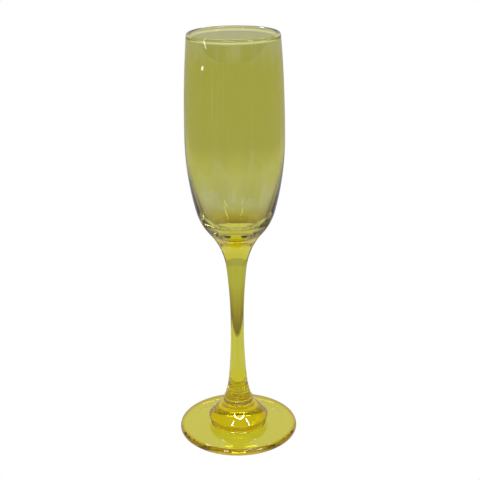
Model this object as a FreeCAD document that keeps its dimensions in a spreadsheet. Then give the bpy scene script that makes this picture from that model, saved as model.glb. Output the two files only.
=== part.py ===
import FreeCAD, Part
import Sketcher
import math
import os

# A champagne flute in clear glass, in millimetres, standing on the XY plane with its axis on Z.
# It is three pieces of glass fused end to end: a pressed foot, a drawn stem and a blown bowl.
# Each piece is one outline turned about the axis, drawn in the frame of that piece: its own
# bottom face lies at height 0, and its Placement stands it on the piece below.

driving = [
    # the foot: a disc with a round edge, a hub in its middle and a neck band on the hub
    ("footRadius", 31.6, "outside of the disc"),
    ("footEdge", 4.0, "thickness of the disc at its round edge"),
    ("sweepHeight", 4.3, "height that the top of the disc sweeps up to at the hub"),
    ("hubRootRadius", 13.0, "radius that the hub narrows to where it meets the disc"),
    ("hubRadius", 16.6, "radius of the hub at its shoulder, before the rounding"),
    ("hubHeight", 7.8, "height of that shoulder"),
    ("domeArc", 45.0, "radius of the bulge of the dome"),
    ("domeTopHeight", 16.9, "height where the dome meets the neck band"),
    ("footHeight", 19.4, "height of the joint with the stem"),
    ("neckRadius", 7.25, "radius of the joint between stem and foot"),
    ("bandRound", 0.75, "rounding on top of the neck band, which stands out by as much"),
    ("rootFillet", 1.2, "fillet between disc and hub"),
    ("shoulderFillet", 1.6, "rounding where the side of the hub turns into the dome"),
    ("bandFillet", 0.5, "fillet between dome and neck band"),
    ("hollowRadius", 27.0, "rim of the hollow under the foot"),
    ("hollowDepth", 1.3, "depth of that hollow at the axis"),
    # the stem: a rod that is thinnest at its waist
    ("stemLength", 80.6, "from the joint with the foot to the joint with the bowl"),
    ("waistHeight", 42.0, "height of the waist above the joint with the foot"),
    ("waistRadius", 3.42, "radius of the waist"),
    ("lowerArc", 326.0, "radius of the long curve below the waist"),
    ("flareArc", 59.0, "radius of the flare above the neck band"),
    # the throat: one round curve that runs across the joint of stem and bowl
    ("throatArc", 36.7, "radius of the throat curve"),
    ("throatRadius", 5.0, "how near the throat curve comes to the axis"),
    ("throatDrop", 10.3, "how far its centre is below the joint"),
    # the bowl: a thin cup on a solid base
    ("bowlHeight", 115.0, "from the joint with the stem to the top of the rim"),
    ("bellyHeight", 63.0, "height of the widest circle above the joint with the stem"),
    ("bellyRadius", 25.0, "radius of the widest circle, outside"),
    ("bellyArc", 148.0, "radius of the outside below the widest circle"),
    ("shoulderArc", 28.5, "radius of the outside where the cup turns in to its base"),
    ("rimRadius", 22.85, "outside of the rim"),
    ("wall", 1.5, "thickness of the wall above the widest circle"),
    ("beadRadius", 1.05, "radius of the rounded bead on the rim"),
    ("beadFillet", 2.0, "fillet that leads from the wall into the bead, inside"),
    ("baseThickness", 13.5, "solid glass between the joint and the inside of the cup"),
    ("wellRadius", 18.0, "radius of the round bottom inside the cup"),
]

doc = FreeCAD.newDocument("champagneFlute")
sheet = doc.addObject("Spreadsheet::Sheet", "Sizes")
for row, (alias, value, note) in enumerate(driving, start=1):
    sheet.set(f"A{row}", note)
    sheet.set(f"B{row}", str(value))
    sheet.setAlias(f"B{row}", alias)
doc.recompute()


def size(alias):
    return float(sheet.get(alias))


def point(across, up):
    return FreeCAD.Vector(across, up, 0)


# The point at two given distances from two others, to the left of the way from first to second
# when side is 1 and to the right when it is -1. It finds the centre of an arc that touches two arcs.
def centreAt(first, firstDistance, second, secondDistance, side):
    way = second - first
    gap = way.Length
    along = (firstDistance**2 - secondDistance**2 + gap**2) / (2 * gap)
    aside = math.sqrt(firstDistance**2 - along**2)
    way.normalize()
    left = point(-way.y, way.x)
    return first + way * along + left * (side * aside)


# The point where two touching arcs meet: it lies on the line of their centres.
def touchPoint(centre, radius, otherCentre):
    way = otherCentre - centre
    way.normalize()
    return centre + way * radius


def planeOf(body, role):
    return next(feature for feature in body.Origin.OriginFeatures if feature.Role == role)


# An upright sketch through the axis: its first direction is across and its second is up.
def uprightSketch(body, name):
    sketch = body.newObject("Sketcher::SketchObject", name)
    sketch.AttachmentSupport = [(planeOf(body, "XZ_Plane"), "")]
    sketch.MapMode = "FlatFace"
    return sketch


# Lines and arcs of an outline are kept as (index in the sketch, its first end, its last end).
def addLine(sketch, start, end):
    return sketch.addGeometry(Part.LineSegment(start, end), False), 1, 2


# An arc about a centre, walked anticlockwise from start to end when turn is 1, clockwise when -1.
def addArc(sketch, centre, start, end, turn):
    low, high = (start, end) if turn > 0 else (end, start)
    lowAngle = math.atan2(low.y - centre.y, low.x - centre.x)
    highAngle = math.atan2(high.y - centre.y, high.x - centre.x)
    if highAngle <= lowAngle:
        highAngle += 2 * math.pi
    circle = Part.Circle(centre, FreeCAD.Vector(0, 0, 1), (low - centre).Length)
    index = sketch.addGeometry(Part.ArcOfCircle(circle, lowAngle, highAngle), False)
    return (index, 1, 2) if turn > 0 else (index, 2, 1)


# Joins each piece of an outline to the next, smoothly where both run the same way.
def joinUp(sketch, pieces, smoothAfter):
    for number, piece in enumerate(pieces):
        following = pieces[(number + 1) % len(pieces)]
        kind = "Tangent" if number in smoothAfter else "Coincident"
        ends = (piece[0], piece[2], following[0], following[1])
        sketch.addConstraint(Sketcher.Constraint(kind, *ends))


# A driving dimension of a sketch, bound to the sheet by an expression.
def bind(sketch, name, expression, kind, *where):
    value = float(sketch.evalExpression(expression))
    index = sketch.addConstraint(Sketcher.Constraint(kind, *where, value))
    sketch.renameConstraint(index, name)
    sketch.setExpression(f"Constraints.{name}", expression)


def bindPlace(sketch, name, place, across=None, up=None):
    origin = (-1, 1)
    if across:
        bind(sketch, name + "Across", across, "DistanceX", *origin, *place)
    if up:
        bind(sketch, name + "Up", up, "DistanceY", *origin, *place)


def onAxis(sketch, place):
    sketch.addConstraint(Sketcher.Constraint("PointOnObject", *place, -2))


def newBody(label, height):
    body = doc.addObject("PartDesign::Body", label)
    body.Label = label
    if height:
        body.setExpression("Placement.Base.z", height)
    return body


def turnAboutAxis(body, kind, name, sketch):
    feature = body.newObject(kind, name)
    feature.Profile = sketch
    feature.ReferenceAxis = (sketch, ["V_Axis"])
    feature.Angle = 360
    doc.recompute()
    return feature


# Rounds the ring edge of a body that has this radius and height.
def roundRing(body, name, radius, height, filletSize):
    near = 0.01

    def isRing(edge):
        curve = edge.Curve
        if not isinstance(curve, Part.Circle):
            return False
        return abs(curve.Radius - radius) < near and abs(curve.Center.z - height) < near

    base = body.Tip
    names = [f"Edge{number}" for number, edge in enumerate(base.Shape.Edges, start=1) if isRing(edge)]
    fillet = body.newObject("PartDesign::Fillet", name)
    fillet.Base = (base, names)
    fillet.setExpression("Radius", "Sizes." + filletSize)
    doc.recompute()


# The foot. Its outline runs from the axis along the bottom, round the edge, up the sweep of the
# disc, the side of the hub and the dome, and over the neck band to the joint with the stem.
def makeFoot():
    body = newBody("foot", None)
    sketch = uprightSketch(body, "footOutline")
    edgeRadius = size("footEdge") / 2
    bandRadius = size("neckRadius") + size("bandRound")
    flatEnd = size("footRadius") - edgeRadius
    sweepRun = flatEnd - size("hubRootRadius")
    sweepRise = size("sweepHeight") - size("footEdge")
    sweepArc = (sweepRun**2 + sweepRise**2) / (2 * sweepRise)
    middle = point(0, 0)
    edgeBottom = point(flatEnd, 0)
    edgeTop = point(flatEnd, size("footEdge"))
    hubRoot = point(size("hubRootRadius"), size("sweepHeight"))
    hubTop = point(size("hubRadius"), size("hubHeight"))
    domeTop = point(bandRadius, size("domeTopHeight"))
    bandTop = point(bandRadius, size("footHeight") - size("bandRound"))
    jointEdge = point(size("neckRadius"), size("footHeight"))
    jointMiddle = point(0, size("footHeight"))
    domeCentre = centreAt(hubTop, size("domeArc"), domeTop, size("domeArc"), 1)
    pieces = [
        addLine(sketch, middle, edgeBottom),
        addArc(sketch, point(flatEnd, edgeRadius), edgeBottom, edgeTop, 1),
        addArc(sketch, edgeTop + point(0, sweepArc), edgeTop, hubRoot, -1),
        addLine(sketch, hubRoot, hubTop),
        addArc(sketch, domeCentre, hubTop, domeTop, 1),
        addLine(sketch, domeTop, bandTop),
        addArc(sketch, point(size("neckRadius"), bandTop.y), bandTop, jointEdge, 1),
        addLine(sketch, jointEdge, jointMiddle),
        addLine(sketch, jointMiddle, middle),
    ]
    bottom, edge, sweep, hubSide, dome, bandSide, bandTurn, joint = pieces[:-1]
    joinUp(sketch, pieces, smoothAfter=(0, 1, 5))
    sketch.addConstraint(Sketcher.Constraint("Coincident", bottom[0], 1, -1, 1))
    for level in (bottom, joint):
        sketch.addConstraint(Sketcher.Constraint("Horizontal", level[0]))
    sketch.addConstraint(Sketcher.Constraint("Vertical", bandSide[0]))
    onAxis(sketch, (joint[0], 2))
    bind(sketch, "edgeRound", "Sizes.footEdge / 2", "Radius", edge[0])
    bindPlace(sketch, "edgeCentre", (edge[0], 3), across="Sizes.footRadius - Sizes.footEdge / 2")
    bindPlace(sketch, "edgeTop", (edge[0], 2), across="Sizes.footRadius - Sizes.footEdge / 2")
    bindPlace(sketch, "hubRoot", (hubSide[0], 1), "Sizes.hubRootRadius", "Sizes.sweepHeight")
    bindPlace(sketch, "hubTop", (hubSide[0], 2), "Sizes.hubRadius", "Sizes.hubHeight")
    bind(sketch, "domeBulge", "Sizes.domeArc", "Radius", dome[0])
    bandExpression = "Sizes.neckRadius + Sizes.bandRound"
    bindPlace(sketch, "domeTop", (bandSide[0], 1), bandExpression, "Sizes.domeTopHeight")
    bind(sketch, "bandTurn", "Sizes.bandRound", "Radius", bandTurn[0])
    bindPlace(sketch, "jointEdge", (joint[0], 1), "Sizes.neckRadius", "Sizes.footHeight")
    turnAboutAxis(body, "PartDesign::Revolution", "footTurned", sketch)
    roundRing(body, "rootRound", size("hubRootRadius"), size("sweepHeight"), "rootFillet")
    roundRing(body, "shoulderRound", size("hubRadius"), size("hubHeight"), "shoulderFillet")
    roundRing(body, "bandRootRound", bandRadius, size("domeTopHeight"), "bandFillet")
    cutHollow(body)
    return body


# The shallow hollow under the foot, a round cap about the axis, leaves a flat ring to stand on.
def cutHollow(body):
    sketch = uprightSketch(body, "hollowOutline")
    reach = size("hollowRadius")
    depth = size("hollowDepth")
    capRadius = (reach**2 + depth**2) / (2 * depth)
    middle = point(0, 0)
    rim = point(reach, 0)
    top = point(0, depth)
    pieces = [
        addLine(sketch, middle, rim),
        addArc(sketch, point(0, depth - capRadius), rim, top, 1),
        addLine(sketch, top, middle),
    ]
    bottom, cap, axis = pieces
    joinUp(sketch, pieces, smoothAfter=())
    sketch.addConstraint(Sketcher.Constraint("Coincident", bottom[0], 1, -1, 1))
    sketch.addConstraint(Sketcher.Constraint("Horizontal", bottom[0]))
    onAxis(sketch, (axis[0], 1))
    onAxis(sketch, (cap[0], 3))
    bindPlace(sketch, "rim", (bottom[0], 2), across="Sizes.hollowRadius")
    bindPlace(sketch, "top", (axis[0], 1), up="Sizes.hollowDepth")
    before = body.Shape.Volume
    turnAboutAxis(body, "PartDesign::Groove", "hollow", sketch)
    if body.Shape.Volume >= before:
        raise RuntimeError("the hollow under the foot cuts nothing")


# Centre of the throat curve in the frame of the piece whose joint with the other lies at this height.
def throatCentre(jointHeight):
    return point(size("throatRadius") + size("throatArc"), jointHeight - size("throatDrop"))


# The stem. Its outline runs from the axis along the joint with the foot, up the flare and the long
# curve to the waist, on by the upper curve into the throat, and back along the joint with the bowl.
def makeStem():
    body = newBody("stem", "Sizes.footHeight")
    sketch = uprightSketch(body, "stemOutline")
    length = size("stemLength")
    waist = point(size("waistRadius"), size("waistHeight"))
    neck = point(size("neckRadius"), 0)
    lowerCentre = waist + point(size("lowerArc"), 0)
    flareCentre = centreAt(lowerCentre, size("lowerArc") - size("flareArc"), neck, size("flareArc"), -1)
    throat = throatCentre(length)
    throatArc = size("throatArc")
    aside = throat.x - waist.x
    above = throat.y - waist.y
    upperArc = (aside**2 + above**2 - throatArc**2) / (2 * (aside - throatArc))
    upperCentre = waist + point(upperArc, 0)
    flareTop = touchPoint(lowerCentre, size("lowerArc"), flareCentre)
    throatStart = touchPoint(upperCentre, upperArc, throat)
    jointEdge = point(throat.x - math.sqrt(throatArc**2 - (length - throat.y) ** 2), length)
    bottomMiddle = point(0, 0)
    topMiddle = point(0, length)
    pieces = [
        addLine(sketch, bottomMiddle, neck),
        addArc(sketch, flareCentre, neck, flareTop, -1),
        addArc(sketch, lowerCentre, flareTop, waist, -1),
        addArc(sketch, upperCentre, waist, throatStart, -1),
        addArc(sketch, throat, throatStart, jointEdge, -1),
        addLine(sketch, jointEdge, topMiddle),
        addLine(sketch, topMiddle, bottomMiddle),
    ]
    bottom, flare, lower, upper, throatCurve, joint = pieces[:-1]
    joinUp(sketch, pieces, smoothAfter=(1, 2, 3))
    sketch.addConstraint(Sketcher.Constraint("Coincident", bottom[0], 1, -1, 1))
    for level in (bottom, joint):
        sketch.addConstraint(Sketcher.Constraint("Horizontal", level[0]))
    onAxis(sketch, (joint[0], 2))
    bindPlace(sketch, "neck", (bottom[0], 2), across="Sizes.neckRadius")
    bind(sketch, "flareArc", "Sizes.flareArc", "Radius", flare[0])
    bind(sketch, "lowerArc", "Sizes.lowerArc", "Radius", lower[0])
    bindPlace(sketch, "waist", (upper[0], upper[1]), "Sizes.waistRadius", "Sizes.waistHeight")
    bindPlace(sketch, "lowerCentre", (lower[0], 3), up="Sizes.waistHeight")
    bind(sketch, "throatArc", "Sizes.throatArc", "Radius", throatCurve[0])
    across = "Sizes.throatRadius + Sizes.throatArc"
    bindPlace(sketch, "throatCentre", (throatCurve[0], 3), across, "Sizes.stemLength - Sizes.throatDrop")
    bindPlace(sketch, "top", (joint[0], 2), up="Sizes.stemLength")
    turnAboutAxis(body, "PartDesign::Revolution", "stemTurned", sketch)
    return body


# The bowl. Its outline runs from the axis along the joint with the stem, up the throat, the shoulder,
# the belly and the upper side, over the bead of the rim, down the inside and round the well.
def makeBowl():
    body = newBody("bowl", "Sizes.footHeight + Sizes.stemLength")
    sketch = uprightSketch(body, "bowlOutline")
    bead = size("beadRadius")
    bellyArc = size("bellyArc")
    shoulderArc = size("shoulderArc")
    throatArc = size("throatArc")
    wellRadius = size("wellRadius")
    belly = point(size("bellyRadius"), size("bellyHeight"))
    bellyInside = belly - point(size("wall"), 0)
    throat = throatCentre(0)
    bellyCentre = belly - point(bellyArc, 0)
    shoulderCentre = centreAt(bellyCentre, bellyArc - shoulderArc, throat, shoulderArc + throatArc, 1)
    beadCentre = point(size("rimRadius") - bead, size("bowlHeight") - bead)
    aside = belly.x - beadCentre.x
    above = beadCentre.y - belly.y
    sideArc = (aside**2 + above**2 - bead**2) / (2 * (aside - bead))
    sideCentre = belly - point(sideArc, 0)
    insideArc = sideArc - size("wall")
    filletArc = size("beadFillet")
    filletCentre = centreAt(sideCentre, insideArc - filletArc, beadCentre, bead + filletArc, -1)
    wellBottom = point(0, size("baseThickness"))
    wellCentre = wellBottom + point(0, wellRadius)
    rise = bellyInside.y - wellCentre.y
    insideBellyArc = (bellyInside.x**2 + rise**2 - wellRadius**2) / (2 * (bellyInside.x - wellRadius))
    insideBellyCentre = bellyInside - point(insideBellyArc, 0)
    middle = point(0, 0)
    jointEdge = point(throat.x - math.sqrt(throatArc**2 - throat.y**2), 0)
    throatEnd = touchPoint(throat, throatArc, shoulderCentre)
    shoulderEnd = touchPoint(bellyCentre, bellyArc, shoulderCentre)
    sideEnd = touchPoint(sideCentre, sideArc, beadCentre)
    beadEnd = touchPoint(beadCentre, bead, filletCentre)
    filletEnd = touchPoint(sideCentre, insideArc, filletCentre)
    wellEdge = touchPoint(insideBellyCentre, insideBellyArc, wellCentre)
    pieces = [
        addLine(sketch, middle, jointEdge),
        addArc(sketch, throat, jointEdge, throatEnd, -1),
        addArc(sketch, shoulderCentre, throatEnd, shoulderEnd, 1),
        addArc(sketch, bellyCentre, shoulderEnd, belly, 1),
        addArc(sketch, sideCentre, belly, sideEnd, 1),
        addArc(sketch, beadCentre, sideEnd, beadEnd, 1),
        addArc(sketch, filletCentre, beadEnd, filletEnd, -1),
        addArc(sketch, sideCentre, filletEnd, bellyInside, -1),
        addArc(sketch, insideBellyCentre, bellyInside, wellEdge, -1),
        addArc(sketch, wellCentre, wellEdge, wellBottom, -1),
        addLine(sketch, wellBottom, middle),
    ]
    joint, throatCurve, shoulder, bellyCurve, side, beadCurve = pieces[:6]
    fillet, inside, insideBelly, well, axis = pieces[6:]
    joinUp(sketch, pieces, smoothAfter=(1, 2, 3, 4, 5, 6, 7, 8))
    sketch.addConstraint(Sketcher.Constraint("Coincident", joint[0], 1, -1, 1))
    sketch.addConstraint(Sketcher.Constraint("Horizontal", joint[0]))
    sketch.addConstraint(Sketcher.Constraint("Coincident", inside[0], 3, side[0], 3))
    onAxis(sketch, (axis[0], 1))
    onAxis(sketch, (well[0], 3))
    bind(sketch, "throatArc", "Sizes.throatArc", "Radius", throatCurve[0])
    across = "Sizes.throatRadius + Sizes.throatArc"
    bindPlace(sketch, "throatCentre", (throatCurve[0], 3), across, "-Sizes.throatDrop")
    bind(sketch, "shoulderArc", "Sizes.shoulderArc", "Radius", shoulder[0])
    bind(sketch, "bellyArc", "Sizes.bellyArc", "Radius", bellyCurve[0])
    bindPlace(sketch, "belly", (side[0], side[1]), "Sizes.bellyRadius", "Sizes.bellyHeight")
    bindPlace(sketch, "bellyCentre", (bellyCurve[0], 3), up="Sizes.bellyHeight")
    bind(sketch, "beadRadius", "Sizes.beadRadius", "Radius", beadCurve[0])
    across = "Sizes.rimRadius - Sizes.beadRadius"
    bindPlace(sketch, "beadCentre", (beadCurve[0], 3), across, "Sizes.bowlHeight - Sizes.beadRadius")
    bind(sketch, "beadFillet", "Sizes.beadFillet", "Radius", fillet[0])
    across = "Sizes.bellyRadius - Sizes.wall"
    bindPlace(sketch, "bellyInside", (insideBelly[0], insideBelly[1]), across, "Sizes.bellyHeight")
    bind(sketch, "wellRadius", "Sizes.wellRadius", "Radius", well[0])
    bindPlace(sketch, "wellBottom", (axis[0], 1), up="Sizes.baseThickness")
    turnAboutAxis(body, "PartDesign::Revolution", "bowlTurned", sketch)
    return body


bodies = [makeFoot(), makeStem(), makeBowl()]
doc.recompute()

for item in doc.Objects:
    if any(word in item.State for word in ("Invalid", "Error")):
        raise RuntimeError(f"{item.Label} is {item.State}")
    if item.isDerivedFrom("Sketcher::SketchObject") and not item.FullyConstrained:
        raise RuntimeError(f"{item.Label} isn't fully constrained")

for body in bodies:
    if body.Shape.isNull() or not body.Shape.isValid():
        raise RuntimeError(f"{body.Label} has no valid shape")

os.makedirs("parts", exist_ok=True)
for body in bodies:
    body.Shape.exportStep(f"parts/{body.Label}.step")
    print(body.Label, round(body.Shape.Volume / 1000, 2), "cubic centimetres", body.Shape.BoundBox)
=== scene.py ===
import bpy
import numpy as np
from mathutils import Matrix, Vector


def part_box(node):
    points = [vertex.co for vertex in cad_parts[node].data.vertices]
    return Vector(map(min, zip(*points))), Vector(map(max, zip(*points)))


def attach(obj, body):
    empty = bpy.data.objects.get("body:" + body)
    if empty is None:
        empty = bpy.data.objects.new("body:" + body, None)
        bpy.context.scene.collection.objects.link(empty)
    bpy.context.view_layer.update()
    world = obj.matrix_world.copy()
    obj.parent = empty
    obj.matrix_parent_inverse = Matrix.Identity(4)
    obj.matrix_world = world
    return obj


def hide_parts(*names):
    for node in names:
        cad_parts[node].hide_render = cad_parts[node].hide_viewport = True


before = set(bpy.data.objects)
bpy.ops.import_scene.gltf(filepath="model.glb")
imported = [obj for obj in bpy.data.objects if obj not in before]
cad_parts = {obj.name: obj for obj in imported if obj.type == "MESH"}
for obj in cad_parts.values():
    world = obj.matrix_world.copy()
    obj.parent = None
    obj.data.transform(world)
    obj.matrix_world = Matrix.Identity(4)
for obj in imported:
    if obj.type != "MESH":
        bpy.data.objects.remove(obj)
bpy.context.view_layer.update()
mm = 0.001

# How finely an outline is divided (turn in radians, length in metres) and how many points go round.
fineness = {"turn": 0.05, "length": 0.9 * mm, "around": 256}
coated, bare, fused = 0, 1, 2  # the finishes of a stretch of outline, in the order of a piece's materials


# A point of an outline, by its distance from the axis and its height.
def place(across, up):
    return np.array([across, up], float)


def inMetres(sizes):
    return {key: value * mm for key, value in sizes.items()}


# Centre of an arc that touches two circles: the point at two given distances from their centres,
# to the left of the way from first to second when side is 1 and to the right when it is -1.
def centreAt(first, firstDistance, second, secondDistance, side):
    way = second - first
    gap = np.hypot(*way)
    along = (firstDistance**2 - secondDistance**2 + gap**2) / (2 * gap)
    aside = np.sqrt(firstDistance**2 - along**2)
    unit = way / gap
    return first + unit * along + side * aside * np.array([-unit[1], unit[0]])


# Point where a circle is met on the line from its centre to another point.
def touchPoint(centre, radius, other):
    way = other - centre
    return centre + way / np.hypot(*way) * radius


# Arc about a centre from start to end, the short way round, at even angles.
def arc(centre, start, end):
    fromStart = start - centre
    fromEnd = end - centre
    radius = np.hypot(*fromStart)
    first = np.arctan2(fromStart[1], fromStart[0])
    turn = np.arctan2(fromEnd[1], fromEnd[0]) - first
    turn = (turn + np.pi) % (2 * np.pi) - np.pi
    steps = max(abs(turn) / fineness["turn"], abs(turn) * radius / fineness["length"], 2)
    angle = first + turn * np.linspace(0, 1, int(np.ceil(steps)) + 1)
    return centre + radius * np.stack([np.cos(angle), np.sin(angle)], 1)


# Straight stretch from start to end, at even steps.
def line(start, end):
    steps = max(np.hypot(*(end - start)) / fineness["length"], 1)
    return start + (end - start) * np.linspace(0, 1, int(np.ceil(steps)) + 1)[:, None]


# Two stretches that meet at a corner, with the corner rounded by an arc of the given radius:
# each stretch is moved inwards by the radius, and the arc's centre is where the moved ones cross.
def rounded(before, after, radius, side):
    def moved(stretch):
        way = np.gradient(stretch, axis=0)
        way /= np.hypot(way[:, 0], way[:, 1])[:, None]
        return stretch + side * radius * np.stack([-way[:, 1], way[:, 0]], 1)

    gaps = np.hypot(*(moved(before)[:, None] - moved(after)[None]).transpose(2, 0, 1))
    last, first = np.unravel_index(np.argmin(gaps), gaps.shape)
    centre = (moved(before)[last] + moved(after)[first]) / 2
    start = touchPoint(centre, radius, before[last])
    end = touchPoint(centre, radius, after[first])
    return [np.vstack([before[:last], start]), arc(centre, start, end), np.vstack([end, after[first + 1:]])]


# Stretches end to end as one outline, with the finish of each of its steps; shared ends count once.
def chain(stretches):
    points = [stretches[0][0][:1]]
    finishes = []
    for stretch, finish in stretches:
        points.append(stretch[1:])
        finishes += [finish] * (len(stretch) - 1)
    return np.concatenate(points), np.array(finishes)


def newObject(name, data):
    thing = bpy.data.objects.new(name, data)
    bpy.context.scene.collection.objects.link(thing)
    return thing


# Turns an outline about the Z axis: its point (r, z) at angle a lies at (r cos a, r sin a, z).
# The outline runs from the axis to the axis with the glass on its left, and its two ends close
# the surface as single points. Rings where the finish turns to or from fused stay sharp.
def turned(name, stretches, materials):
    outline, finishes = chain(stretches)
    around = fineness["around"]
    angle = np.arange(around) / around * 2 * np.pi
    ring = outline[1:-1]
    rings = len(ring)
    x = ring[:, :1] * np.cos(angle)
    y = ring[:, :1] * np.sin(angle)
    z = np.broadcast_to(ring[:, 1:], x.shape)
    grid = np.stack([x, y, z], 2).reshape(-1, 3)
    ends = np.array([[0, 0, outline[0, 1]], [0, 0, outline[-1, 1]]])
    here = np.arange(rings * around).reshape(rings, around)
    beside = np.roll(here, -1, axis=1)
    quads = np.stack([here[:-1], beside[:-1], beside[1:], here[1:]], 2).reshape(-1, 4)
    startPoint = np.full(around, rings * around)
    firstFan = np.stack([startPoint, beside[0], here[0]], 1)
    lastFan = np.stack([startPoint + 1, here[-1], beside[-1]], 1)
    mesh = bpy.data.meshes.new(name)
    mesh.from_pydata(
        np.concatenate([grid, ends]).tolist(), [],
        quads.tolist() + firstFan.tolist() + lastFan.tolist(),
    )
    faceFinish = np.concatenate([
        np.repeat(finishes[1:-1], around),
        np.full(around, finishes[0]),
        np.full(around, finishes[-1]),
    ])
    for material in materials:
        mesh.materials.append(material)
    mesh.polygons.foreach_set("material_index", faceFinish.astype(np.int32))
    mesh.polygons.foreach_set("use_smooth", np.ones(len(faceFinish), bool))
    edges = np.zeros(len(mesh.edges) * 2, np.int32)
    mesh.edges.foreach_get("vertices", edges)
    edgeRing = edges.reshape(-1, 2) // around
    change = np.nonzero((finishes[1:] == fused) != (finishes[:-1] == fused))[0]
    sharp = (edgeRing[:, 0] == edgeRing[:, 1]) & np.isin(edgeRing[:, 0], change)
    mesh.attributes.new("sharp_edge", "BOOLEAN", "EDGE").data.foreach_set("value", sharp)
    mesh.update()
    print(name, "has", len(mesh.polygons), "faces")
    return newObject(name, mesh)


def newMaterial(name):
    material = bpy.data.materials.new(name)
    material.use_nodes = True
    material.node_tree.nodes.clear()
    return material, material.node_tree


# A node with its settings. Each input, by name or place, is given a value or another node's output.
def addNode(tree, kind, inputs=None, **settings):
    node = tree.nodes.new(kind)
    for key, value in settings.items():
        setattr(node, key, value)
    for key, value in (inputs or {}).items():
        if isinstance(value, bpy.types.NodeSocket):
            tree.links.new(value, node.inputs[key])
        else:
            node.inputs[key].default_value = value
    return node


# A maths node's result, from values or other nodes' outputs in the order of its inputs.
def maths(tree, operation, *values, clamp=False):
    node = addNode(tree, "ShaderNodeMath", dict(enumerate(values)), operation=operation, use_clamp=clamp)
    return node.outputs[0]


# Result that follows a list of steps (place, result), straight between them. Places rise from 0.
# With root, the curve is spaced by the square root of the place, which is finer near 0.
def stepped(tree, value, steps, root=False):
    top = steps[-1][0]
    high = max(result for _, result in steps)
    power = 0.5 if root else 1
    share = maths(tree, "DIVIDE", value, top, clamp=True)
    curve = addNode(tree, "ShaderNodeFloatCurve", {"Value": maths(tree, "POWER", share, power)})
    points = curve.mapping.curves[0].points
    while len(points) < len(steps):
        points.new(0, 0)
    for point, (at, result) in zip(points, steps):
        point.location = ((at / top)**power, result / high)
        point.handle_type = "VECTOR"
    curve.mapping.update()
    return maths(tree, "MULTIPLY", curve.outputs[0], high)


# The same with its places in millimetres.
def steppedMm(tree, value, steps):
    return stepped(tree, value, [(at * mm, result) for at, result in steps])


# Noise on the object's own coordinates, with a size in millimetres across (X and Y) and this many
# times as much up (Z).
def grain(tree, width, stretch, detail=3):
    across = 1 / (width * mm)
    up = 1 / (stretch * width * mm)
    coordinates = addNode(tree, "ShaderNodeTexCoord").outputs["Object"]
    mapping = addNode(tree, "ShaderNodeMapping", {"Vector": coordinates, "Scale": (across, across, up)})
    scaled = mapping.outputs["Vector"]
    noise = addNode(tree, "ShaderNodeTexNoise", {"Vector": scaled, "Scale": 1, "Detail": detail})
    return noise.outputs["Fac"]


# The coat's colours from thinnest to thickest, as what is left of white light after two crossings. The
# deep amber end also serves painted shade.
coatAndPaintedShadeColours = (
    (0.0, (0.80, 0.80, 0.30)),
    (0.4, (0.74, 0.72, 0.08)),
    (0.7, (0.78, 0.70, 0.008)),
    (1.0, (0.58, 0.36, 0.003)),
)
# What all the glass shares: how many times as tall as wide the coat's runs and streaks and the ripple
# are, how sharply the coat deepens at a slant, and the level of the smudges (0 to 1) up to which the
# skin stays fully clear.
skin = {
    "ior": 1.5, "runStretch": 8, "streakStretch": 20, "rippleStretch": 3, "slantPower": 3, "clearUpTo": 0.35,
}


# How deep the coat's colour is at a point, with painted shade in some bands: by height, or by distance
# from the axis where that is more, with a ragged edge where the coat ran and fine upright streaks. It is
# deeper where the surface is seen at a slant, because light has further to go through the coat.
def coatAndPaintedShadeDepth(tree, look):
    coordinates = addNode(tree, "ShaderNodeTexCoord").outputs["Object"]
    height = addNode(tree, "ShaderNodeSeparateXYZ", {0: coordinates}).outputs["Z"]
    runs = grain(tree, look["runWidth"], skin["runStretch"])
    run = maths(tree, "MULTIPLY_ADD", runs, 2 * look["runLength"] * mm, -look["runLength"] * mm)
    ranHeight = maths(tree, "MULTIPLY_ADD", run, steppedMm(tree, height, look["runsAt"]), height)
    even = steppedMm(tree, ranHeight, look["byHeight"])
    if "byRadius" in look:
        flat = addNode(tree, "ShaderNodeVectorMath", {0: coordinates, 1: (1, 1, 0)}, operation="MULTIPLY")
        radius = addNode(tree, "ShaderNodeVectorMath", {0: flat.outputs[0]}, operation="LENGTH")
        byRadius = steppedMm(tree, radius.outputs["Value"], look["byRadius"])
        even = maths(tree, "MAXIMUM", even, byRadius)
    streaks = grain(tree, look["streakWidth"], skin["streakStretch"])
    thinnest = maths(tree, "SUBTRACT", even, look["streaks"])
    streaked = maths(tree, "MULTIPLY_ADD", streaks, 2 * look["streaks"], thinnest)
    facing = addNode(tree, "ShaderNodeLayerWeight", {"Blend": 0.5}).outputs["Facing"]
    slant = maths(tree, "POWER", facing, skin["slantPower"])
    return maths(tree, "MULTIPLY_ADD", slant, look["slant"], streaked)


def coatAndPaintedShadeColour(tree, look):
    ramp = addNode(tree, "ShaderNodeValToRGB", {"Fac": coatAndPaintedShadeDepth(tree, look)})
    stops = ramp.color_ramp.elements
    while len(stops) < len(coatAndPaintedShadeColours):
        stops.new(1)
    for stop, (at, colour) in zip(stops, coatAndPaintedShadeColours):
        stop.position = at
        stop.color = (*colour, 1)
    return ramp.outputs["Color"]


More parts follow.
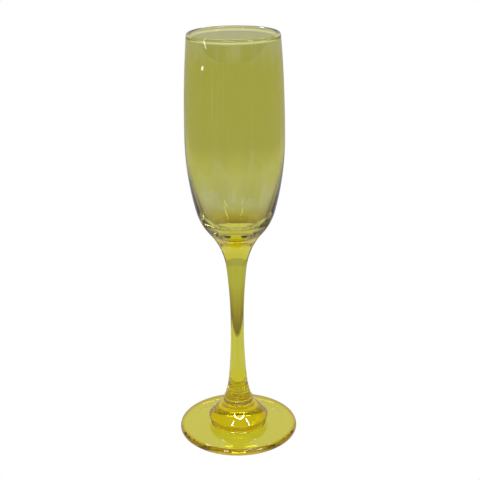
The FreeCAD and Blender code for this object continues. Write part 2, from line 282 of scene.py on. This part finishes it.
# Clear glass, with a thin coat and painted shade on it where its look has one: each crossing of the
# surface tints light by the root of the base colour. The skin ripples very slightly, and handling dulls it
# in places.
def glassMaterial(name, look):
    material, tree = newMaterial(name)
    smudges = grain(tree, look["smudge"], 1)
    clear = -skin["clearUpTo"] * look["dullness"]
    wave = grain(tree, look["rippleWidth"], skin["rippleStretch"], 1)
    ripple = addNode(tree, "ShaderNodeBump", {"Distance": look["ripple"] * mm, "Height": wave})
    glass = addNode(tree, "ShaderNodeBsdfPrincipled", {
        "Base Color": coatAndPaintedShadeColour(tree, look) if "byHeight" in look else (1, 1, 1, 1),
        "Transmission Weight": 1,
        "IOR": skin["ior"],
        "Roughness": maths(tree, "MULTIPLY_ADD", smudges, look["dullness"], clear),
        "Normal": ripple.outputs["Normal"],
    })
    addNode(tree, "ShaderNodeOutputMaterial", {"Surface": glass.outputs["BSDF"]})
    return material


# Where two pieces are fused there is no surface, so light goes straight through.
def jointMaterial():
    material, tree = newMaterial("fusedJoint")
    clear = addNode(tree, "ShaderNodeBsdfTransparent")
    addNode(tree, "ShaderNodeOutputMaterial", {"Surface": clear.outputs["BSDF"]})
    return material


# One dictionary for each piece. Sizes are in millimetres. Looks give the coat's depth from 0 to 1, with
# painted shade in some bands, by height and by distance from the axis (millimetres), and the share of the
# full length of the runs by height. Widths and lengths of runs, streaks, smudges and ripples are in
# millimetres.
footPlan = {
    "sizes": {
        "edge": 4.0, "sweepHeight": 4.3, "hubRootRadius": 13.0, "hubRadius": 16.6, "hubHeight": 7.8,
        "domeArc": 45.0, "domeTopHeight": 16.9, "neckRadius": 7.25, "bandRound": 0.75, "rootFillet": 1.2,
        "shoulderFillet": 1.6, "bandFillet": 0.5, "hollowRadius": 27.0, "hollowDepth": 1.3,
    },
    "look": {
        # Painted shade: full depth from 4.7 to 6.8 mm round the hub's root, and past 30.4 mm at the round
        # edge, stands for the deep amber and brown of light run long through the thick glass.
        "byHeight": (
            (0, 0.58), (4.3, 0.58), (4.7, 1.0), (6.8, 1.0), (8.2, 0.83), (16, 0.83), (19.4, 0.8),
        ),
        "byRadius": ((0, 0.58), (29.4, 0.58), (30.4, 1.0), (32, 1.0)),
        "slant": 0.3, "runWidth": 5.0, "runLength": 0.2, "runsAt": ((0, 1), (20, 1)),
        "streakWidth": 5.0, "streaks": 0.04,
        "smudge": 9.0, "dullness": 0.02, "ripple": 0.04, "rippleWidth": 7.0,
    },
}


# The foot's outline: hollow, flat ring, round edge, sweep of the disc, hub, dome and neck band.
def footStretches():
    size = inMetres(footPlan["sizes"])
    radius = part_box("foot")[1].x
    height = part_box("foot")[1].z
    edgeRadius = size["edge"] / 2
    flatEnd = radius - edgeRadius
    bandRadius = size["neckRadius"] + size["bandRound"]
    capRadius = (size["hollowRadius"]**2 + size["hollowDepth"]**2) / (2 * size["hollowDepth"])
    hollowTop = place(0, size["hollowDepth"])
    hollowRim = place(size["hollowRadius"], 0)
    edgeBottom = place(flatEnd, 0)
    edgeSide = place(radius, edgeRadius)
    edgeTop = place(flatEnd, size["edge"])
    edgeCentre = place(flatEnd, edgeRadius)
    hubRoot = place(size["hubRootRadius"], size["sweepHeight"])
    hubTop = place(size["hubRadius"], size["hubHeight"])
    domeTop = place(bandRadius, size["domeTopHeight"])
    bandTop = place(bandRadius, height - size["bandRound"])
    jointEdge = place(size["neckRadius"], height)
    run = flatEnd - size["hubRootRadius"]
    rise = size["sweepHeight"] - size["edge"]
    sweepArc = (run**2 + rise**2) / (2 * rise)
    domeCentre = centreAt(hubTop, size["domeArc"], domeTop, size["domeArc"], 1)
    sweep = arc(place(flatEnd, size["edge"] + sweepArc), edgeTop, hubRoot)
    side = line(hubRoot, hubTop)
    dome = arc(domeCentre, hubTop, domeTop)
    band = line(domeTop, bandTop)
    sweep, rootTurn, side = rounded(sweep, side, size["rootFillet"], -1)
    side, shoulderTurn, dome = rounded(side, dome, size["shoulderFillet"], 1)
    dome, bandTurn, band = rounded(dome, band, size["bandFillet"], -1)
    coats = [
        arc(place(0, size["hollowDepth"] - capRadius), hollowTop, hollowRim),
        line(hollowRim, edgeBottom),
        arc(edgeCentre, edgeBottom, edgeSide),
        arc(edgeCentre, edgeSide, edgeTop),
        sweep, rootTurn, side, shoulderTurn, dome, bandTurn, band,
        arc(place(size["neckRadius"], bandTop[1]), bandTop, jointEdge),
    ]
    joint = line(jointEdge, place(0, height))
    return [(stretch, coated) for stretch in coats] + [(joint, fused)]


# Sizes in millimetres of the throat: its arc, the radius that the arc would narrow to if it went on,
# and how far below the joint of stem and bowl that would be.
throatSizes = {"arc": 36.7, "radius": 5.0, "drop": 10.3}
stemPlan = {
    "sizes": {"waistHeight": 42.0, "waistRadius": 3.42, "lowerArc": 326.0, "flareArc": 59.0},
    "look": {
        # Painted shade: the deeper colour up to 33 mm stands for the golden tint of light run long through
        # the thick flare.
        "byHeight": ((0, 0.75), (26, 0.72), (33, 0.68), (38, 0.48), (58, 0.42), (88, 0.42), (100, 0.45)),
        "slant": 0.3, "runWidth": 5.0, "runLength": 2.0, "runsAt": ((0, 1), (100, 1)),
        "streakWidth": 1.6, "streaks": 0.05,
        "smudge": 9.0, "dullness": 0.02, "ripple": 0.03, "rippleWidth": 6.0,
    },
}


# The throat is one arc that runs across the joint of stem and bowl: its centre, its radius and its
# point on the joint.
def throatCurve():
    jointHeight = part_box("bowl")[0].z
    size = inMetres(throatSizes)
    centre = place(size["radius"] + size["arc"], jointHeight - size["drop"])
    edge = place(centre[0] - np.sqrt(size["arc"]**2 - size["drop"]**2), jointHeight)
    return centre, size["arc"], edge


# The stem's outline: joint with the foot, flare, long lower curve, upper curve, throat, joint with the bowl.
def stemStretches():
    size = inMetres(stemPlan["sizes"])
    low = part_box("stem")[0].z
    neck = place(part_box("stem")[1].x, low)
    waist = place(size["waistRadius"], low + size["waistHeight"])
    lowerCentre = waist + place(size["lowerArc"], 0)
    flareCentre = centreAt(lowerCentre, size["lowerArc"] - size["flareArc"], neck, size["flareArc"], -1)
    throat, throatArc, jointEdge = throatCurve()
    aside, above = throat - waist
    upperArc = (aside**2 + above**2 - throatArc**2) / (2 * (aside - throatArc))
    upperCentre = waist + place(upperArc, 0)
    flareTop = touchPoint(lowerCentre, size["lowerArc"], flareCentre)
    throatStart = touchPoint(upperCentre, upperArc, throat)
    return [
        (line(place(0, low), neck), fused),
        (arc(flareCentre, neck, flareTop), coated),
        (arc(lowerCentre, flareTop, waist), coated),
        (arc(upperCentre, waist, throatStart), coated),
        (arc(throat, throatStart, jointEdge), coated),
        (line(jointEdge, place(0, jointEdge[1])), fused),
    ]


bowlPlan = {
    "sizes": {
        "bellyHeight": 63.0, "bellyArc": 148.0, "shoulderArc": 28.5, "rimRadius": 22.85, "wall": 1.5,
        "beadRadius": 1.05, "beadFillet": 2.0, "baseThickness": 13.5, "wellRadius": 18.0,
    },
    "look": {
        "byHeight": (
            # Painted light and shade: the deep yellow and amber from 101 to 117 mm stand for the colour of
            # light run long through the thick base and neck.
            (0, 0.45), (100, 0.5), (101, 0.62), (105.5, 0.62), (107.5, 0.5), (109.5, 0.85), (114, 0.9),
            # From 122 to 139 mm the base colour is nearly clear, which leaves a lighter band on the lower
            # bowl.
            (117, 0.4), (122, 0.01), (139, 0.01), (142, 0.3), (152, 0.37), (202, 0.4), (208, 0.12),
            (213, 0.12), (216, 0.45),
        ),
        "slant": 0.5, "runWidth": 5.0, "runLength": 22.0,
        "runsAt": ((0, 0), (126, 0), (136, 1), (200, 1), (206, 0)),
        "streakWidth": 2.0, "streaks": 0.12,
        "smudge": 9.0, "dullness": 0.02, "ripple": 0.05, "rippleWidth": 9.0,
    },
}


# The bowl's outline: joint with the stem, throat, shoulder, belly, side, bead, and down the inside
# to the round well. The coat ends on top of the bead.
def bowlStretches():
    size = inMetres(bowlPlan["sizes"])
    low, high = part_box("bowl")[0].z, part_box("bowl")[1].z
    bead = size["beadRadius"]
    shoulderArc = size["shoulderArc"]
    belly = place(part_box("bowl")[1].x, low + size["bellyHeight"])
    bellyInside = belly - place(size["wall"], 0)
    throat, throatArc, jointEdge = throatCurve()
    bellyCentre = belly - place(size["bellyArc"], 0)
    shoulderCentre = centreAt(
        bellyCentre, size["bellyArc"] - shoulderArc, throat, shoulderArc + throatArc, 1)
    beadCentre = place(size["rimRadius"] - bead, high - bead)
    aside, above = belly[0] - beadCentre[0], beadCentre[1] - belly[1]
    sideArc = (aside**2 + above**2 - bead**2) / (2 * (aside - bead))
    sideCentre = belly - place(sideArc, 0)
    insideArc = sideArc - size["wall"]
    filletArc = size["beadFillet"]
    filletCentre = centreAt(sideCentre, insideArc - filletArc, beadCentre, bead + filletArc, -1)
    wellBottom = place(0, low + size["baseThickness"])
    wellCentre = wellBottom + place(0, size["wellRadius"])
    rise = bellyInside[1] - wellCentre[1]
    insideBellyArc = bellyInside[0]**2 + rise**2 - size["wellRadius"]**2
    insideBellyArc /= 2 * (bellyInside[0] - size["wellRadius"])
    insideBellyCentre = bellyInside - place(insideBellyArc, 0)
    throatEnd = touchPoint(throat, throatArc, shoulderCentre)
    shoulderEnd = touchPoint(bellyCentre, size["bellyArc"], shoulderCentre)
    sideEnd = touchPoint(sideCentre, sideArc, beadCentre)
    beadTop = beadCentre + place(0, bead)
    beadEnd = touchPoint(beadCentre, bead, filletCentre)
    filletEnd = touchPoint(sideCentre, insideArc, filletCentre)
    wellEdge = touchPoint(insideBellyCentre, insideBellyArc, wellCentre)
    return [
        (line(place(0, low), jointEdge), fused),
        (arc(throat, jointEdge, throatEnd), coated),
        (arc(shoulderCentre, throatEnd, shoulderEnd), coated),
        (arc(bellyCentre, shoulderEnd, belly), coated),
        (arc(sideCentre, belly, sideEnd), coated),
        (arc(beadCentre, sideEnd, beadTop), coated),
        (arc(beadCentre, beadTop, beadEnd), bare),
        (arc(filletCentre, beadEnd, filletEnd), bare),
        (arc(sideCentre, filletEnd, bellyInside), bare),
        (arc(insideBellyCentre, bellyInside, wellEdge), bare),
        (arc(wellCentre, wellEdge, wellBottom), bare),
    ]


bareLook = {"smudge": 11.0, "dullness": 0.02, "ripple": 0.05, "rippleWidth": 11.0}

bareGlass = glassMaterial("bareGlass", bareLook)
joint = jointMaterial()
for node, plan, stretches in (
    ("bowl", bowlPlan, bowlStretches()),
    ("stem", stemPlan, stemStretches()),
    ("foot", footPlan, footStretches()),
):
    coat = glassMaterial(node + "Coat", plan["look"])
    piece = turned(node + "_glass", stretches, [coat, bareGlass, joint])
    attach(piece, "root")
    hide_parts(node)
print("the three glass pieces stand")


# The studio: a pale floor and a soft room, both plain white to the camera itself. Through the glass and
# mirrored in it, the floor carries painted light: a bright pool in the middle, a dark and warm step round it
# as a painted shadow of the glass, a somewhat lighter ring beyond, and a dimmer floor further out. The room
# is bright behind and straight in front and dim between them, and dim and warm to both sides at a slant.
# Each step is a place and the result there. For the floor the place is the distance from the middle in
# metres. For the room it is a part of the direction: upward for sky, sideways for side, and
# (backward + 1) / 2 for back.
studio = {
    "floorRadius": 4.0, "floorDrop": 0.2 * mm, "floorSides": 64,
    # Painted light and shadow on the floor: bright pool in the middle, dark step as the glass's shadow,
    # lighter ring beyond.
    "floorLightAndShadowSteps": (
        (0.0, 0.69), (0.06, 0.71), (0.111, 0.71), (0.114, 0.22), (0.17, 0.42), (0.26, 0.56), (0.42, 0.58),
        (0.56, 0.48), (4.0, 0.48),
    ),
    "skySteps": ((0.0, 0.7), (0.5, 0.85), (0.75, 0.8), (0.9, 0.5), (1.0, 0.3)),
    "sideSteps": ((0.0, 1.0), (0.7, 1.0), (0.82, 0.15), (0.94, 0.15), (0.975, 0.8), (1.0, 0.8)),
    "backSteps": ((0.0, 0.85), (0.012, 0.85), (0.04, 0.15), (0.45, 0.15), (0.6, 1.0), (1.0, 1.0)),
    "warmth": (1.0, 0.62, 0.28),
    # The warm tint of the painted shadow.
    "floorShadowWarmth": ((0.0, 0.0), (0.111, 0.0), (0.114, 0.45), (0.17, 0.4), (0.26, 0.0), (4.0, 0.0)),
    "sideWarmth": ((0.0, 0.0), (0.6, 0.0), (0.8, 0.35), (0.93, 0.35), (0.97, 0.0), (1.0, 0.0)),
}
# places of a Mix node's colour sockets, because its number sockets have the same names
colourA, colourB, colourResult = 6, 7, 2


# The given brightness to what the glass shows or mirrors, and 1 to the camera itself.
def whiteBeyond(tree, brightness):
    direct = addNode(tree, "ShaderNodeLightPath").outputs["Is Camera Ray"]
    mix = addNode(tree, "ShaderNodeMix", {"Factor": direct, "A": brightness, "B": 1}, data_type="FLOAT")
    return mix.outputs["Result"]


# White that turns to the warm tone of the room by the given share, but not to the camera itself.
def warmed(tree, share):
    direct = addNode(tree, "ShaderNodeLightPath").outputs["Is Camera Ray"]
    hidden = maths(tree, "MULTIPLY", maths(tree, "SUBTRACT", 1, direct), share)
    white, warm = (1, 1, 1, 1), (*studio["warmth"], 1)
    tones = {"Factor": hidden, colourA: white, colourB: warm}
    return addNode(tree, "ShaderNodeMix", tones, data_type="RGBA").outputs[colourResult]


# A round floor just under the foot. Its glow, with its painted light and shadow, goes by the larger of |x|
# and |y|.
def makeFloor():
    sides = studio["floorSides"]
    angle = np.arange(sides) / sides * 2 * np.pi
    rim = np.stack([np.cos(angle), np.sin(angle), 0 * angle], 1) * studio["floorRadius"]
    rim[:, 2] = -studio["floorDrop"]
    mesh = bpy.data.meshes.new("floor")
    mesh.from_pydata(rim.tolist(), [], [list(range(sides))])
    material, tree = newMaterial("paleFloor")
    coordinates = addNode(tree, "ShaderNodeTexCoord").outputs["Object"]
    x, y, _ = addNode(tree, "ShaderNodeSeparateXYZ", {0: coordinates}).outputs
    furthest = maths(tree, "MAXIMUM", maths(tree, "ABSOLUTE", x), maths(tree, "ABSOLUTE", y))
    glow = addNode(tree, "ShaderNodeEmission", {
        "Strength": whiteBeyond(tree, stepped(tree, furthest, studio["floorLightAndShadowSteps"], root=True)),
        "Color": warmed(tree, stepped(tree, furthest, studio["floorShadowWarmth"], root=True)),
    })
    addNode(tree, "ShaderNodeOutputMaterial", {"Surface": glow.outputs[0]})
    mesh.materials.append(material)
    newObject("floor", mesh)


# The room's brightness is the product of its sky, side and back steps for the direction.
def makeWorld():
    world = bpy.data.worlds.new("studio")
    bpy.context.scene.world = world
    world.use_nodes = True
    tree = world.node_tree
    tree.nodes.clear()
    coordinates = addNode(tree, "ShaderNodeTexCoord").outputs["Generated"]
    x, y, z = addNode(tree, "ShaderNodeSeparateXYZ", {0: coordinates}).outputs
    aside = maths(tree, "ABSOLUTE", x)
    back = maths(tree, "MULTIPLY_ADD", y, 0.5, 0.5)
    sky = stepped(tree, z, studio["skySteps"])
    room = maths(tree, "MULTIPLY", sky, stepped(tree, aside, studio["sideSteps"]))
    lit = maths(tree, "MULTIPLY", room, stepped(tree, back, studio["backSteps"]))
    background = addNode(tree, "ShaderNodeBackground", {
        "Strength": whiteBeyond(tree, lit),
        "Color": warmed(tree, stepped(tree, aside, studio["sideWarmth"])),
    })
    addNode(tree, "ShaderNodeOutputWorld", {"Surface": background.outputs[0]})


# Strip lamps that the glass mirrors, and that show through it only where seenThrough is true. Each
# stands round the piece about a height (at, in metres), and runs through points given by azimuth
# (degrees, 0 in front, to the right positive) and height angle (degrees). Widths are in metres.
lampDistance = 0.9
lamps = {
    "bowedStrip": {
        "seenThrough": False, "at": 0.012, "width": 0.04, "strength": 30.0,
        "run": ((-34, 59), (-20, 56.5), (-5, 54.5), (10, 54), (25, 54.5), (36, 56), (46, 59)),
    },
    "leftStrip": {
        "seenThrough": True, "at": 0.012, "width": 0.045, "strength": 42.0,
        "run": ((-24, 50), (-28, 40), (-30, 30)),
    },
    "rightStrip": {
        "seenThrough": True, "at": 0.012, "width": 0.045, "strength": 42.0,
        "run": ((42, 50), (44, 40), (46, 26)),
    },
    "lowStrip": {
        "seenThrough": False, "at": 0.012, "width": 0.015, "strength": 20.0,
        "run": ((-20, 24), (0, 22), (35, 22)),
    },
    "backStrip": {
        "seenThrough": True, "at": 0.0, "width": 0.035, "strength": 25.0,
        "run": ((145, 58), (160, 53), (180, 51), (200, 53), (215, 58)),
    },
    "sideSpot": {
        "seenThrough": False, "at": 0.2, "width": 0.010, "strength": 25.0, "run": ((-74, -5), (-78, -5)),
    },
    "sideDash": {
        "seenThrough": False, "at": 0.2, "width": 0.004, "strength": 25.0, "run": ((-76, -0.6), (-65, -1.8)),
    },
    "tallStrip": {
        "seenThrough": False, "at": 0.2, "width": 0.012, "strength": 4.0, "run": ((-50, -16), (-50, -4)),
    },
    "thinStrip": {
        "seenThrough": False, "at": 0.2, "width": 0.008, "strength": 3.0, "run": ((-24, -12), (-24, -1)),
    },
}


# A ribbon of the lamp's width along its run, at one distance from the axis's point at its height,
# and facing that point.
def makeLamp(name, look):
    azimuth, lift = np.radians(np.array(look["run"], float)).T
    way = np.stack([np.sin(azimuth) * np.cos(lift), -np.cos(azimuth) * np.cos(lift), np.sin(lift)], 1)
    middle = way * lampDistance
    across = np.cross(np.gradient(middle, axis=0), way)
    across *= look["width"] / 2 / np.linalg.norm(across, axis=1)[:, None]
    points = np.concatenate([middle + across, middle - across])
    points[:, 2] += look["at"]
    count = len(middle)
    faces = [[i, i + 1, count + i + 1, count + i] for i in range(count - 1)]
    mesh = bpy.data.meshes.new(name)
    mesh.from_pydata(points.tolist(), [], faces)
    material, tree = newMaterial(name + "Glow")
    glow = addNode(tree, "ShaderNodeEmission", {"Strength": look["strength"]})
    addNode(tree, "ShaderNodeOutputMaterial", {"Surface": glow.outputs[0]})
    mesh.materials.append(material)
    lamp = newObject(name, mesh)
    lamp.visible_camera = False
    lamp.visible_transmission = look["seenThrough"]


# The camera stands in front of the flute, above its rim, and looks down at it. Lengths in metres,
# angles in degrees, lens in millimetres on a 36 mm sensor.
view = {
    "lens": 79.2, "sensor": 36, "distance": 0.5092, "height": 0.2961, "aside": 0.0020,
    "pitch": 20.18, "roll": -0.7, "nearest": 0.01,
}


def makeCamera():
    camera = newObject("camera", bpy.data.cameras.new("camera"))
    camera.data.lens = view["lens"]
    camera.data.sensor_width = view["sensor"]
    camera.data.clip_start = view["nearest"]
    pitch = Matrix.Rotation(np.radians(90 - view["pitch"]), 4, "X")
    roll = Matrix.Rotation(np.radians(view["roll"]), 4, "Z")
    spot = Matrix.Translation((view["aside"], -view["distance"], view["height"]))
    camera.matrix_world = spot @ pitch @ roll
    bpy.context.scene.camera = camera


makeFloor()
makeWorld()
for name, look in lamps.items():
    makeLamp(name, look)
makeCamera()
scene = bpy.context.scene
scene.view_settings.view_transform = "Standard"
scene.cycles.max_bounces = 24
scene.cycles.transmission_bounces = 24
scene.cycles.glossy_bounces = 12
scene.cycles.transparent_max_bounces = 24
scene.cycles.sample_clamp_indirect = 6
scene.cycles.use_denoising = True
print("the studio is set")
